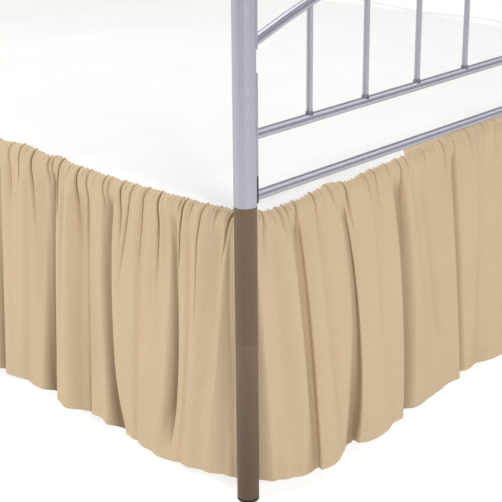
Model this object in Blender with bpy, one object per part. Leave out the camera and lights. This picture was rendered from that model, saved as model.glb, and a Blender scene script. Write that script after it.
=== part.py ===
"""A bed skirt gathered on three sides of a queen bed, with the plain tube bed that it hangs on.

Metres, +Z up. The origin is on the floor under the middle of the whole: X runs across the bed, -Y is
its foot end and +Y its head end. The skirt has split corners, so its three panels never meet.
"""

import math
import random
from collections import namedtuple

import bmesh
import bpy

# Heights above the floor
DECK_TOP = 0.478
HEM_HEIGHT = 0.023
LEG_TOP = 0.506
LOWER_RAIL_HEIGHT = 0.5168
MIDDLE_RAIL_HEIGHT = 0.6133
BOX_HEIGHT = 0.190

# Bed plan, between the axes of its posts
POST_SPREAD_X = 1.551
FOOT_POST_Y = -1.0255
HEAD_POST_Y = 1.0705

# Tube and bar sizes
POST_RADIUS = 0.018
POST_RIM = 0.006
RAIL_RADIUS = 0.008
SPINDLE_RADIUS = 0.005
STRIP_WIDTH = 0.016
STRIP_THICK = 0.003
ANGLE_THICK = 0.003
ANGLE_UPRIGHT = 0.040
ANGLE_LEDGE = 0.035
BEARER_SIZE = (0.040, 0.010)
HOOK_INSIDE_POST = 0.0032
HOOK_REACH = (0.0112, 0.060)

# Bearers lie across the side rails, under the box spring
BEARERS = 3
BEARER_PITCH = 0.62

# Spindles stand in a row between the middle rail and the arch
SPINDLES = 10
SPINDLE_PITCH = 0.1396

# Each end of the bed: the arch's height at a post's axis, its rise at the middle, the post's top
End = namedtuple("End", "name y arch_spring arch_rise post_top")
ENDS = (
    End("foot", FOOT_POST_Y, 0.7465, 0.1427, 0.919),
    End("head", HEAD_POST_Y, 1.0465, 0.1427, 1.219),
)
# The mounting strips on a post: bottom and top, from the middle rail or from the arch's spring
STRIP_BELOW_MIDDLE = 0.1065
STRIP_ABOVE_MIDDLE = 0.0955
STRIP_AROUND_SPRING = (-0.0025, 0.095)

# Cloth
SHEET = 0.002
GAP = 0.0003
SEAM_INSIDE = 0.015
SEAM_GAP = 0.0015
SHOULDER_DROP = 0.024
BOX_INSIDE = 0.014
BOX_ROUNDING = 0.016
SHOULDER_X = 0.7675
SHOULDER_Y = -1.0055
DEEPEST = -0.006
DEEPEST_AT_ENDS = -0.001
FACING_LENGTH = 0.651
FACING_DEPTH = 0.055
HEAD_EDGE_Y = 1.0245

# How far the fullest lobe of a hem stands outside its panel's shoulder
SIDE_REACH = 0.043
FOOT_REACH = 0.083

# Fold: a valley between two lobes. Places run along the panel from the axis of the post it starts
# at, and bow carries the valley's middle aside. depth and half_width are at the hem, begins and
# ends are shares of the drop, and lap pushes the valley's bottom along, under the next lobe, in
# half widths.
Fold = namedtuple("Fold", "at_top at_hem bow depth half_width begins ends lap")
LEFT_FOLDS = (
    Fold(0.045, 0.080, 0.000, 0.006, 0.018, 0.00, 0.70, 0.0),
    Fold(0.167, 0.162, -0.011, 0.016, 0.011, 0.02, 0.90, -0.4),
    Fold(0.210, 0.238, 0.000, 0.009, 0.014, 0.00, 0.40, 0.0),
    Fold(0.318, 0.292, 0.019, 0.021, 0.014, 0.00, 1.00, -0.6),
    Fold(0.385, 0.393, 0.002, 0.012, 0.015, 0.00, 1.00, -0.3),
    Fold(0.464, 0.490, 0.002, 0.020, 0.014, 0.02, 1.00, -0.6),
    Fold(0.538, 0.582, -0.004, 0.010, 0.016, 0.02, 1.00, 0.0),
    Fold(0.625, 0.646, 0.000, 0.016, 0.012, 0.00, 1.00, -0.7),
)
FOOT_FOLDS = (
    Fold(0.080, 0.070, 0.000, 0.005, 0.012, 0.00, 0.50, 0.0),
    Fold(0.146, 0.110, 0.006, 0.009, 0.013, 0.00, 1.00, 0.3),
    Fold(0.190, 0.188, 0.004, 0.007, 0.014, 0.00, 0.80, 0.0),
    Fold(0.256, 0.226, 0.020, 0.016, 0.011, 0.02, 1.00, -0.9),
    Fold(0.340, 0.322, 0.000, 0.007, 0.012, 0.00, 0.55, 0.0),
    Fold(0.402, 0.376, 0.016, 0.016, 0.011, 0.00, 1.00, -0.9),
    Fold(0.478, 0.512, 0.006, 0.009, 0.014, 0.00, 0.75, 0.0),
    Fold(0.572, 0.578, 0.002, 0.021, 0.010, 0.02, 1.00, -1.1),
    Fold(0.656, 0.634, 0.000, 0.010, 0.013, 0.00, 1.00, -0.3),
    Fold(0.735, 0.742, 0.000, 0.016, 0.011, 0.02, 1.00, -0.8),
)

# Lobe: how far the hem's lobes stand out of the shoulder, at places along the panel
Lobe = namedtuple("Lobe", "at out")
LEFT_LOBES = (
    Lobe(0.022, 0.002), Lobe(0.050, 0.012), Lobe(0.078, 0.021), Lobe(0.127, 0.030),
    Lobe(0.177, 0.043), Lobe(0.215, 0.034), Lobe(0.254, 0.027), Lobe(0.302, 0.034),
    Lobe(0.329, 0.031), Lobe(0.360, 0.020), Lobe(0.439, 0.029), Lobe(0.475, 0.023),
    Lobe(0.516, 0.018), Lobe(0.589, 0.012), Lobe(0.632, 0.016), Lobe(0.700, 0.031),
)
FOOT_LOBES = (
    Lobe(0.0215, 0.020), Lobe(0.040, 0.046), Lobe(0.059, 0.061), Lobe(0.106, 0.083),
    Lobe(0.140, 0.082), Lobe(0.197, 0.067), Lobe(0.226, 0.069), Lobe(0.251, 0.073),
    Lobe(0.295, 0.071), Lobe(0.345, 0.063), Lobe(0.399, 0.060), Lobe(0.459, 0.051),
    Lobe(0.526, 0.044), Lobe(0.578, 0.041), Lobe(0.614, 0.036), Lobe(0.684, 0.041),
)

# Rise: how far the shoulder stands above or below the deck, at places along the panel
Rise = namedtuple("Rise", "at up")
LEFT_RISES = (
    Rise(0.022, 0.003), Rise(0.050, 0.004), Rise(0.132, 0.000), Rise(0.306, -0.002),
    Rise(0.432, 0.001), Rise(0.467, 0.008), Rise(0.492, 0.004), Rise(0.565, 0.011),
    Rise(0.615, 0.007),
)
FOOT_RISES = (
    Rise(0.0215, -0.004), Rise(0.064, -0.006), Rise(0.096, -0.011), Rise(0.157, -0.010),
    Rise(0.196, -0.006), Rise(0.238, -0.001), Rise(0.288, -0.009), Rise(0.350, -0.003),
    Rise(0.449, 0.000), Rise(0.525, 0.004), Rise(0.569, 0.009), Rise(0.646, 0.012),
    Rise(0.715, 0.012),
)

# Row of the sheet: how far round the shoulder it is, its shares of the rises, folds and drop
Row = namedtuple("Row", "turn rise_share fold_share drop")
ROWS = (
    Row(0, 0.00, 0.00, 0.00),
    Row(34, 0.25, 0.20, 0.00),
    Row(66, 1.00, 0.50, 0.00),
    Row(90, 1.00, 1.00, 0.11),
    Row(90, 1.00, 1.00, 0.38),
    Row(90, 1.00, 1.00, 0.69),
    Row(90, 1.00, 1.00, 1.00),
)
# The sheet's columns: half widths from each valley's middle, and the most and least between two
COLUMNS_PER_FOLD = (-2.3, -0.9, 0.0, 0.9, 2.3)
WIDEST_COLUMN = 0.045
NARROWEST_COLUMN = 0.004
COLUMN_INSIDE_END = 0.017

# A valley's form: its width at the top against the hem, the shares of its narrow trough and of its
# broad dip, how much wider the dip is, and the shares of the drop over which it comes and goes
WIDTH_AT_TOP = 0.65
TROUGH_SHARE = 0.65
DIP_WIDTH = 2.6
COMES_OVER = (-0.04, 0.06)
GOES_OVER = (-0.15, 0.10)
FLARE_POWER = 0.9
# The lengths at a panel's ends over which its folds grow to their full depth and slide
ENDS_DEEPEN_OVER = 0.08
ENDS_SLIDE_OVER = 0.03

# Hidden: the ranges from which the folds that the tables don't give are drawn
HIDDEN_STEP = (0.062, 0.112)
HIDDEN_LEAN = (-0.011, 0.011)
HIDDEN_BOW = (-0.008, 0.008)
HIDDEN_FULL_SHARE = 0.66
HIDDEN_DEEP = (0.011, 0.019)
HIDDEN_SHALLOW = (0.006, 0.011)
HIDDEN_HALF_WIDTH = (0.010, 0.014)
HIDDEN_BEGINS = (0.0, 0.03)
HIDDEN_ENDS = (0.4, 0.8)
HIDDEN_LAP = (-1.1, 1.1)
HIDDEN_LOBES = (0.75, 1.6)
HIDDEN_RISES = (-0.001, 0.008)
MEAN_LOBE_SHARE = 0.42
LOBE_PAST_FOLD = 0.03
FREE_AT_STOP = 0.045

# Panel: its table rows, its ends along its edge at the seam and at the hem, its hem's reach, the
# seed of its hidden folds, and what turns its own places into the bed's
Panel = namedtuple("Panel", "name folds lobes rises starts stops reach seed place")
SIDE_STARTS = (0.022, 0.022)
SIDE_STOPS = (2.044, 2.044)
FOOT_STARTS = (0.0255, 0.0215)


def panels():
    """The three drop panels, each with the frame that turns its own places into the bed's."""
    corner_x = POST_SPREAD_X / 2
    foot_stops = tuple(POST_SPREAD_X - start for start in FOOT_STARTS)
    return (
        Panel("skirt_left", LEFT_FOLDS, LEFT_LOBES, LEFT_RISES, SIDE_STARTS, SIDE_STOPS, SIDE_REACH, 4,
              lambda at, out, z: (-SHOULDER_X - out, FOOT_POST_Y + at, z)),
        Panel("skirt_right", (), (), (), SIDE_STARTS, SIDE_STOPS, SIDE_REACH, 9,
              lambda at, out, z: (SHOULDER_X + out, FOOT_POST_Y + at, z)),
        Panel("skirt_foot", FOOT_FOLDS, FOOT_LOBES, FOOT_RISES, FOOT_STARTS, foot_stops, FOOT_REACH, 6,
              lambda at, out, z: (at - corner_x, SHOULDER_Y - out, z)),
    )


def clear_scene():
    """Empties the scene."""
    for thing in list(bpy.context.scene.objects):
        bpy.data.objects.remove(thing, do_unlink=True)


def material(name, colour, roughness, metallic=0.0):
    """One plain finish."""
    made = bpy.data.materials.new(name)
    made.use_nodes = True
    shader = made.node_tree.nodes["Principled BSDF"]
    shader.inputs["Base Color"].default_value = (*colour, 1.0)
    shader.inputs["Roughness"].default_value = roughness
    shader.inputs["Metallic"].default_value = metallic
    return made


def object_from(name, mesh, finish, smooth_angle=None):
    """Puts a mesh into the scene under its node's name."""
    made = bpy.data.objects.new(name, mesh)
    bpy.context.scene.collection.objects.link(made)
    mesh.materials.append(finish)
    if smooth_angle is not None:
        mesh.shade_smooth()
        mesh.set_sharp_from_angle(angle=math.radians(smooth_angle))
    return made


def mesh_from(name, shape):
    """Turns a bmesh into a mesh with its faces pointing out."""
    bmesh.ops.recalc_face_normals(shape, faces=shape.faces)
    mesh = bpy.data.meshes.new(name)
    shape.to_mesh(mesh)
    shape.free()
    return mesh


def box(name, low, high, finish, rounding=0.0):
    """A block between two corners, with rounded edges if asked."""
    shape = bmesh.new()
    bmesh.ops.create_cube(shape, size=1.0)
    size = [b - a for a, b in zip(low, high)]
    bmesh.ops.scale(shape, vec=size, verts=shape.verts)
    bmesh.ops.translate(shape, vec=[(a + b) / 2 for a, b in zip(low, high)], verts=shape.verts)
    made = object_from(name, mesh_from(name, shape), finish)
    if rounding:
        bevel = made.modifiers.new("rounding", "BEVEL")
        bevel.width = rounding
        bevel.segments = 3
    return made


def upright_tube(name, x, y, bottom, top, radius, sides, finish, rounding=0.0):
    """A vertical round piece; its top edge is rounded if asked."""
    shape = bmesh.new()
    bmesh.ops.create_cone(shape, cap_ends=True, segments=sides, radius1=radius, radius2=radius,
                          depth=top - bottom)
    if rounding:
        rim = [e for e in shape.edges if all(v.co.z > 0 for v in e.verts)]
        bmesh.ops.bevel(shape, geom=rim, offset=rounding, segments=3, profile=0.5, affect="EDGES")
    bmesh.ops.translate(shape, vec=(x, y, (bottom + top) / 2), verts=shape.verts)
    return object_from(name, mesh_from(name, shape), finish, smooth_angle=40)


def arch_height(end, x):
    """Height of the arch's axis at a place across the bed: an arc of one circle."""
    half = POST_SPREAD_X / 2
    radius = (half * half + end.arch_rise ** 2) / (2 * end.arch_rise)
    return end.arch_spring + end.arch_rise - radius + math.sqrt(radius * radius - x * x)


def rail(name, y, height, steps, sides, finish):
    """A round rail across the bed, following height(x), cut upright where it meets its strips."""
    reach = POST_SPREAD_X / 2 - POST_RADIUS - STRIP_THICK - 2 * GAP
    shape = bmesh.new()
    rings = []
    for step in range(steps + 1):
        x = reach * (2 * step / steps - 1)
        slope = (height(x + GAP) - height(x - GAP)) / (2 * GAP)
        tall = RAIL_RADIUS * math.hypot(1, slope)
        turns = [2 * math.pi * side / sides for side in range(sides)]
        rings.append([shape.verts.new((x, y + RAIL_RADIUS * math.cos(a), height(x) + tall * math.sin(a)))
                      for a in turns])
    for here, there in zip(rings, rings[1:]):
        for k in range(sides):
            shape.faces.new((here[k], here[k - 1], there[k - 1], there[k]))
    shape.faces.new(rings[0])
    shape.faces.new(rings[-1])
    return object_from(name, mesh_from(name, shape), finish, smooth_angle=40)


def spindle(name, x, end, finish, sides=8):
    """A thin upright whose two ends are coped to the rail below and the arch above."""
    shape = bmesh.new()
    steepness = math.hypot(1, x / POST_SPREAD_X)

    def cope(dx, dy, height, side_of_rail):
        clear = math.sqrt(RAIL_RADIUS ** 2 - dy ** 2) * steepness + 2 * GAP
        return shape.verts.new((x + dx, end.y + dy, height(x + dx) + side_of_rail * clear))

    turns = [2 * math.pi * k / sides for k in range(sides)]
    places = [(SPINDLE_RADIUS * math.cos(a), SPINDLE_RADIUS * math.sin(a)) for a in turns]
    rings = []
    for height, side_of_rail in ((lambda at: MIDDLE_RAIL_HEIGHT, 1), (lambda at: arch_height(end, at), -1)):
        ring = [cope(dx, dy, height, side_of_rail) for dx, dy in places]
        rings.append((ring, cope(0, 0, height, side_of_rail)))
    (low, low_middle), (high, high_middle) = rings
    for k in range(sides):
        shape.faces.new((low[k - 1], low[k], high[k], high[k - 1]))
        shape.faces.new((low[k], low[k - 1], low_middle))
        shape.faces.new((high[k - 1], high[k], high_middle))
    return object_from(name, mesh_from(name, shape), finish, smooth_angle=40)


def between(rows, at, value):
    """Reads a table of places at any place, easing from row to row."""
    if at <= rows[0].at:
        return value(rows[0])
    for here, there in zip(rows, rows[1:]):
        if at <= there.at:
            share = (at - here.at) / (there.at - here.at)
            eased = share * share * (3 - 2 * share)
            return value(here) + (value(there) - value(here)) * eased
    return value(rows[-1])


def ease(share):
    """Goes softly from 0 to 1."""
    share = min(1.0, max(0.0, share))
    return share * share * (3 - 2 * share)


def eased_over(span, at):
    """Goes softly from 0 to 1 over a span."""
    return ease((at - span[0]) / (span[1] - span[0]))


def hidden_rows(panel):
    """The folds, lobes and rises of a panel past the last ones in its tables, uneven like those."""
    rng = random.Random(panel.seed)
    folds, lobes, rises = list(panel.folds), list(panel.lobes), list(panel.rises)
    at = folds[-1].at_hem if folds else panel.starts[1]
    mean_lobe = MEAN_LOBE_SHARE * panel.reach
    if not lobes:
        lobes.append(Lobe(at, mean_lobe / 4))
        rises.append(Rise(at, 0.0))
    while True:
        step = rng.uniform(*HIDDEN_STEP)
        lean = rng.uniform(*HIDDEN_LEAN)
        full = rng.random() < HIDDEN_FULL_SHARE
        depth = rng.uniform(*(HIDDEN_DEEP if full else HIDDEN_SHALLOW))
        row = Fold(at + step - lean, at + step + lean, rng.uniform(*HIDDEN_BOW), depth,
                   rng.uniform(*HIDDEN_HALF_WIDTH), rng.uniform(*HIDDEN_BEGINS),
                   1.0 if full else rng.uniform(*HIDDEN_ENDS), rng.uniform(*HIDDEN_LAP) if full else 0.0)
        at += step
        if at > panel.stops[1] - FREE_AT_STOP:
            break
        folds.append(row)
        lobes.append(Lobe(at + LOBE_PAST_FOLD, mean_lobe * rng.uniform(*HIDDEN_LOBES)))
        rises.append(Rise(at + LOBE_PAST_FOLD, rng.uniform(*HIDDEN_RISES)))
    lobes.append(Lobe(panel.stops[1], mean_lobe / 2))
    rises.append(Rise(panel.stops[1], 0.0))
    return folds, lobes, rises


def bowed(fold, drop):
    """How far a fold's bow carries it aside at a share of the drop."""
    return 4 * fold.bow * drop * (1 - drop)


def fold_push(fold, place, drop):
    """How far one fold sinks the sheet and slides it along, at a place and a share of the drop."""
    middle = fold.at_top + (fold.at_hem - fold.at_top) * drop + bowed(fold, drop)
    wide = fold.half_width * (WIDTH_AT_TOP + (1 - WIDTH_AT_TOP) * drop)
    u = (place - middle) / wide
    grows = eased_over(COMES_OVER, drop - fold.begins) * (1 + drop) / 2
    if fold.ends < 1:
        grows *= 1 - eased_over(GOES_OVER, drop - fold.ends)
    trough, dip = math.exp(-u * u), math.exp(-(u / DIP_WIDTH) ** 2)
    sinks = fold.depth * grows * (TROUGH_SHARE * trough + (1 - TROUGH_SHARE) * dip)
    return sinks, fold.lap * wide * grows * trough


Column = namedtuple("Column", "top hem bow")


def columns(panel, folds):
    """The sheet's columns, each leaning and bowing as the fold beside it does."""
    wanted = [Column(*(start + COLUMN_INSIDE_END for start in panel.starts), 0.0)]
    for fold in folds:
        for u in COLUMNS_PER_FOLD:
            wanted.append(Column(fold.at_top + WIDTH_AT_TOP * u * fold.half_width,
                                 fold.at_hem + u * fold.half_width, fold.bow))
    wanted.append(Column(*(stop - COLUMN_INSIDE_END for stop in panel.stops), 0.0))
    wanted.append(Column(*panel.stops, 0.0))
    kept = [Column(*panel.starts, 0.0)]
    for column in wanted:
        before = kept[-1]
        if min(column.top - before.top, column.hem - before.hem) < NARROWEST_COLUMN:
            continue
        extra = int(max(column.top - before.top, column.hem - before.hem) / WIDEST_COLUMN)
        for k in range(1, extra + 1):
            share = k / (extra + 1)
            kept.append(Column(*(a + (b - a) * share for a, b in zip(before, column))))
        kept.append(column)
    kept[-1] = wanted[-1]
    return kept


def sheet_point(panel, rows, column, row):
    """One point of a panel's outer face, in the panel's own places."""
    folds, lobes, rises = rows
    at = column.top + (column.hem - column.top) * row.drop + bowed(column, row.drop)
    pushes = [fold_push(fold, at, row.drop) for fold in folds]
    sunk = row.fold_share * sum(push[0] for push in pushes)
    slid = row.fold_share * sum(push[1] for push in pushes)
    from_ends = min(at - panel.starts[0], panel.stops[0] - at)
    out = between(lobes, at, lambda lobe: lobe.out) * row.drop ** FLARE_POWER - sunk
    out = max(out, DEEPEST_AT_ENDS + (DEEPEST - DEEPEST_AT_ENDS) * ease(from_ends / ENDS_DEEPEN_OVER))
    out -= SEAM_INSIDE * (1 - math.sin(math.radians(row.turn)))
    shoulder = DECK_TOP + row.rise_share * between(rises, at, lambda rise: rise.up)
    shoulder -= SHOULDER_DROP * (1 - math.cos(math.radians(row.turn)))
    z = shoulder - (shoulder - HEM_HEIGHT) * row.drop
    return at + slid * ease(from_ends / ENDS_SLIDE_OVER), out, z


def skirt_panel(panel, finish):
    """A gathered drop panel: one thin sheet from the deck's seam, over the shoulder, to the hem."""
    rows = hidden_rows(panel)
    grid = [[sheet_point(panel, rows, column, row) for row in ROWS] for column in columns(panel, rows[0])]
    fullest = max(point[1] for line in grid for point in line)
    shape = bmesh.new()
    lines = []
    for line in grid:
        lines.append([])
        for at, out, z in line:
            if out > 0:
                out *= panel.reach / fullest
            lines[-1].append(shape.verts.new(panel.place(at, out, z)))
    for here, there in zip(lines, lines[1:]):
        for k in range(len(ROWS) - 1):
            a, b, c, d = here[k], there[k], there[k + 1], here[k + 1]
            if (a.co - c.co).length < (b.co - d.co).length:
                shape.faces.new((a, b, c))
                shape.faces.new((a, c, d))
            else:
                shape.faces.new((a, b, d))
                shape.faces.new((b, c, d))
    mesh = bpy.data.meshes.new(panel.name)
    shape.to_mesh(mesh)
    shape.free()
    made = object_from(panel.name, mesh, finish, smooth_angle=80)
    outward_first = (mesh.polygons[0].normal.z > 0)
    thick = made.modifiers.new("cloth", "SOLIDIFY")
    thick.thickness = SHEET
    thick.offset = -1.0 if outward_first else 1.0
    return made


def plate(name, outline, bottom, top, finish):
    """A flat piece of any outline, given as (x, y) corners in turn."""
    shape = bmesh.new()
    face = shape.faces.new([shape.verts.new((x, y, bottom)) for x, y in outline])
    raised = bmesh.ops.extrude_face_region(shape, geom=[face])["geom"]
    lifted = [item for item in raised if isinstance(item, bmesh.types.BMVert)]
    bmesh.ops.translate(shape, vec=(0, 0, top - bottom), verts=lifted)
    return object_from(name, mesh_from(name, shape), finish)


def deck_and_facing(white, beige):
    """The flat cloth on the box spring, with a place cut in its foot edge for the mitred facing."""
    side = SHOULDER_X - SEAM_INSIDE - SEAM_GAP
    foot = SHOULDER_Y + SEAM_INSIDE + SEAM_GAP
    half, deep = FACING_LENGTH / 2, foot + FACING_DEPTH
    mitred = half - FACING_DEPTH
    room = 2 * GAP
    outline = ((-side, foot), (-half - room, foot), (-mitred - GAP, deep + GAP), (mitred + GAP, deep + GAP),
               (half + room, foot), (side, foot), (side, HEAD_EDGE_Y), (-side, HEAD_EDGE_Y))
    plate("deck", outline, DECK_TOP - SHEET, DECK_TOP, white)
    strip = ((-half, foot), (half, foot), (mitred, deep), (-mitred, deep))
    plate("foot_facing", strip, DECK_TOP - SHEET, DECK_TOP, beige)


def box_spring(finish):
    """The hidden block that fills the skirt's top, with rounded edges."""
    side = SHOULDER_X - BOX_INSIDE
    foot = SHOULDER_Y + BOX_INSIDE
    top = DECK_TOP - SHEET - GAP
    low, high = (-side, foot, top - BOX_HEIGHT), (side, HEAD_EDGE_Y, top)
    return box("box_spring", low, high, finish, BOX_ROUNDING)


def post(name, x, end, silver, brown):
    """A post is a painted tube with a darker leg under it."""
    upright_tube(f"{name}_leg", x, end.y, 0.0, LEG_TOP, POST_RADIUS, 24, brown)
    upright_tube(f"{name}_post", x, end.y, LEG_TOP + GAP, end.post_top, POST_RADIUS, 24, silver, POST_RIM)


def mounting_strips(name, x, end, finish):
    """The two flat strips on a post's inner side that carry the rails."""
    face = abs(x) - POST_RADIUS - GAP
    near, far = sorted((math.copysign(face, x), math.copysign(face - STRIP_THICK, x)))
    lower = (MIDDLE_RAIL_HEIGHT - STRIP_BELOW_MIDDLE, MIDDLE_RAIL_HEIGHT + STRIP_ABOVE_MIDDLE)
    upper = [end.arch_spring + offset for offset in STRIP_AROUND_SPRING]
    for which, (bottom, top) in (("lower", lower), ("upper", upper)):
        box(f"{name}_{which}_strip", (near, end.y - STRIP_WIDTH / 2, bottom),
            (far, end.y + STRIP_WIDTH / 2, top), finish)


def bed_end(end, silver, brown):
    """One end of the bed: two posts, two straight rails, the arch and its spindles."""
    half = POST_SPREAD_X / 2
    for side, x in (("left", -half), ("right", half)):
        post(f"{end.name}_{side}", x, end, silver, brown)
        mounting_strips(f"{end.name}_{side}", x, end, silver)
    rail(f"{end.name}_lower_rail", end.y, lambda x: LOWER_RAIL_HEIGHT, 1, 12, silver)
    rail(f"{end.name}_middle_rail", end.y, lambda x: MIDDLE_RAIL_HEIGHT, 1, 12, silver)
    rail(f"{end.name}_arch", end.y, lambda x: arch_height(end, x), 20, 12, silver)
    for k in range(SPINDLES):
        x = (k - (SPINDLES - 1) / 2) * SPINDLE_PITCH
        spindle(f"{end.name}_spindle_{k + 1}", x, end, silver)


def spanned_box(name, spans, finish):
    """A block given as its span along each axis."""
    low, high = zip(*(sorted(span) for span in spans))
    return box(name, low, high, finish)


def side_rail(name, side, finish):
    """An angle iron beside the box spring, with a hook plate at each end that meets its post."""
    hook_outer = POST_SPREAD_X / 2 - POST_RADIUS + HOOK_INSIDE_POST
    outer = hook_outer - ANGLE_THICK - GAP
    ledge_top = DECK_TOP - SHEET - BOX_HEIGHT - BEARER_SIZE[1] - 3 * GAP
    bottom = ledge_top - ANGLE_THICK
    along = (SHOULDER_Y + SEAM_INSIDE, HEAD_EDGE_Y)
    upright = ((side * outer, side * (outer - ANGLE_THICK)), along, (bottom, bottom + ANGLE_UPRIGHT))
    ledge = ((side * (outer - ANGLE_THICK / 2), side * (outer - ANGLE_LEDGE)), along, (bottom, ledge_top))
    made = spanned_box(f"{name}_side_rail", upright, finish)
    joined = spanned_box(f"{name}_ledge", ledge, finish)
    joined.hide_render = True
    joined.display_type = "WIRE"
    union = made.modifiers.new("ledge", "BOOLEAN")
    union.operation = "UNION"
    union.object = joined
    for end, inward in zip(ENDS, (1, -1)):
        hook = ((side * hook_outer, side * (hook_outer - ANGLE_THICK)),
                [end.y + inward * reach for reach in HOOK_REACH],
                (bottom + ANGLE_THICK, bottom + ANGLE_UPRIGHT - ANGLE_THICK))
        spanned_box(f"{end.name}_{name}_hook", hook, finish)
    return outer - ANGLE_THICK, ledge_top


def under_frame(finish):
    """Two side rails and the bearers that lie on their ledges."""
    for side, name in ((-1, "left"), (1, "right")):
        upright_face, ledge_top = side_rail(name, side, finish)
    reach = upright_face - GAP
    wide, tall = BEARER_SIZE
    bed_middle = (SHOULDER_Y + HEAD_EDGE_Y) / 2
    for k in range(BEARERS):
        y = bed_middle + (k - (BEARERS - 1) / 2) * BEARER_PITCH
        spans = ((-reach, reach), (y - wide / 2, y + wide / 2), (ledge_top + GAP, ledge_top + GAP + tall))
        spanned_box(f"bearer_{k + 1}", spans, finish)


def build():
    """Makes the whole object."""
    clear_scene()
    beige = material("skirt_cloth", (0.62, 0.50, 0.34), 0.92)
    white = material("deck_cloth", (0.86, 0.86, 0.84), 0.90)
    silver = material("silver_paint", (0.46, 0.46, 0.51), 0.32, 0.75)
    brown = material("leg_paint", (0.19, 0.135, 0.09), 0.45, 0.30)
    ticking = material("box_ticking", (0.70, 0.70, 0.68), 0.90)
    for panel in panels():
        skirt_panel(panel, beige)
    deck_and_facing(white, beige)
    box_spring(ticking)
    for end in ENDS:
        bed_end(end, silver, brown)
    under_frame(silver)


build()
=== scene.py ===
# %% [markdown]
# # A gathered bed skirt on a tube bed
#
# A bed skirt hides the space under a bed. Three wide strips of cloth are gathered at their tops and
# sewn to a flat deck that lies on the box spring, so each strip rolls over the edge and falls almost
# to the floor in uneven folds. This one has split corners: the strips stop beside the bed's posts.
#
# This lesson dresses a measured model of that bed. The metal parts keep their measured shapes and
# get a finish. The cloth is built again as fine sheets, because a few hundred gathers are far too
# small for a measured solid.

# %% The measured model
import math
import random
from collections import namedtuple

import bmesh
import bpy
import numpy as np
from mathutils import Matrix, Vector


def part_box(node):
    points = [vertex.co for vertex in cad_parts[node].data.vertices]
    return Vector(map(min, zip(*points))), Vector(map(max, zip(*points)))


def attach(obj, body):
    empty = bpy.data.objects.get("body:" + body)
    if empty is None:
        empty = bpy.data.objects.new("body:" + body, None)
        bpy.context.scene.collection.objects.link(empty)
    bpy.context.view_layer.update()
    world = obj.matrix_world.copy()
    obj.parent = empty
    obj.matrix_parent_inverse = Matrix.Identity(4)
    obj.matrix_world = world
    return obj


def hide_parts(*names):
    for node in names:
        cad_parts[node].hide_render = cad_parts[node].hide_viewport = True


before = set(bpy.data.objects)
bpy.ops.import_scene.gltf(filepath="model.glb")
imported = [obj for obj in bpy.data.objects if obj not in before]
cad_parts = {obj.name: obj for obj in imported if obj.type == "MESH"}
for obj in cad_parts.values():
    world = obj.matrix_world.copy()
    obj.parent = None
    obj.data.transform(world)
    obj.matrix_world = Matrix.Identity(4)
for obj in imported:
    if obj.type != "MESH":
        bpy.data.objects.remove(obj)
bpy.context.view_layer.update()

# %% [markdown]
# ## The camera
#
# The camera stands where the photograph was taken: at the bed's foot corner, a little above a
# sitting eye, looking down. Its place is measured from the axis of the near post, so it follows the
# bed. A lens of 100 mm flattens the perspective, and the picture is turned by half a degree.

# %% The camera
near_leg_low, near_leg_high = (Vector(corner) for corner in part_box("foot_left_leg"))
near_post = Vector(((near_leg_low.x + near_leg_high.x) / 2, (near_leg_low.y + near_leg_high.y) / 2, 0))
CAMERA_FROM_POST = Vector((-1.460, -1.3814, 1.1854))
HEADING, LOOKS_DOWN, TURNED = 43.19, 20.53, -0.5
PICTURE_SIDE = 502
FOCAL_IN_PIXELS = 1397.15

lens = bpy.data.cameras.new("photo_camera")
lens.sensor_width = 36
lens.lens = FOCAL_IN_PIXELS * lens.sensor_width / PICTURE_SIDE
lens.clip_end = 60
camera = bpy.data.objects.new("photo_camera", lens)
bpy.context.scene.collection.objects.link(camera)
level, down = math.radians(HEADING), math.radians(LOOKS_DOWN)
looks_along = Vector((math.cos(level) * math.cos(down), math.sin(level) * math.cos(down), -math.sin(down)))
upright = looks_along.to_track_quat("-Z", "Y").to_matrix()
camera.rotation_euler = (upright @ Matrix.Rotation(math.radians(TURNED), 3, "Z")).to_euler()
camera.location = near_post + CAMERA_FROM_POST
bpy.context.scene.camera = camera
print("camera at", [round(v, 3) for v in camera.location], "lens", round(lens.lens, 1), "mm")

# %% [markdown]
# ## The bed's own sizes
#
# Every size of the cloth is worked out from the measured parts: the deck's height, the posts' axes
# and the line where the cloth turns down, which is called its shoulder here.

# %% Sizes
deck_low, deck_high = (Vector(corner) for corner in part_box("deck"))
DECK_TOP = deck_high.z
HEM_HEIGHT = Vector(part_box("skirt_foot")[0]).z
POST_X, FOOT_POST_Y = abs(near_post.x), near_post.y
SEAM_INSIDE = 0.015
SEAM_GAP = 0.0015
SHOULDER_DROP = 0.024
SHOULDER_X = deck_high.x + SEAM_GAP + SEAM_INSIDE
SHOULDER_Y = deck_low.y - SEAM_GAP - SEAM_INSIDE
SIDE_REACH = 0.043
FOOT_REACH = 0.083
CLOTH_THICK = 0.0012
DECK_UNDERSIDE = DECK_TOP - 0.002
print(f"deck top {DECK_TOP:.3f}, hem {HEM_HEIGHT:.3f}, shoulder x {SHOULDER_X:.4f} y {SHOULDER_Y:.4f}")

# %% [markdown]
# ## Where the big folds fall
#
# A gathered panel isn't a row of even waves. Each big fold has its own place at the seam, drifts on
# its way to the hem, and may die out halfway. A table with a row for each fold keeps that
# unevenness readable. Places run along a panel from the axis of the post where it starts.
# `lap` pushes a valley's bottom sideways under its neighbour, which gives the sharp overlapping
# edges that a plain wave can't show.

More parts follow.
